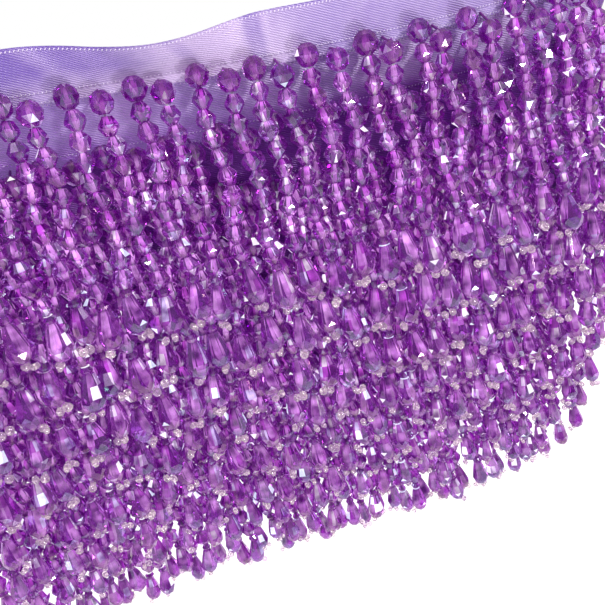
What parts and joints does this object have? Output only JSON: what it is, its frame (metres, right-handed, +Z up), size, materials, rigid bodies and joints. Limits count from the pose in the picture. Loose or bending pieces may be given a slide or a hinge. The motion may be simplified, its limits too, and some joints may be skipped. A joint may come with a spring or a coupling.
{
  "type": "beaded fringe trim",
  "caption": "Hanging beaded fringe trim: overlapping lavender satin ribbons, each edged with a row of faceted amethyst bead strands that end in drops.",
  "frame": {"origin": "middle of the uppermost ribbon's top edge, where the trim is held", "axes": "+X along the trim to the right as seen from its front, -Y out of its front, +Z up"},
  "size_m": [0.276, 0.0673, 0.2297],
  "materials": {
    "satin": "satin",
    "beads": "gloss"
  },
  "bodies": {
    "root": {"ribbon_1": "satin", "fringe_1": "beads", "ribbon_2": "satin", "fringe_2": "beads", "ribbon_3": "satin", "fringe_3": "beads", "ribbon_4": "satin", "fringe_4": "beads", "ribbon_5": "satin", "fringe_5": "beads", "ribbon_6": "satin", "fringe_6": "beads", "ribbon_7": "satin", "fringe_7": "beads", "ribbon_8": "satin", "fringe_8": "beads", "ribbon_9": "satin", "fringe_9": "beads"}
  },
  "joints": []
}
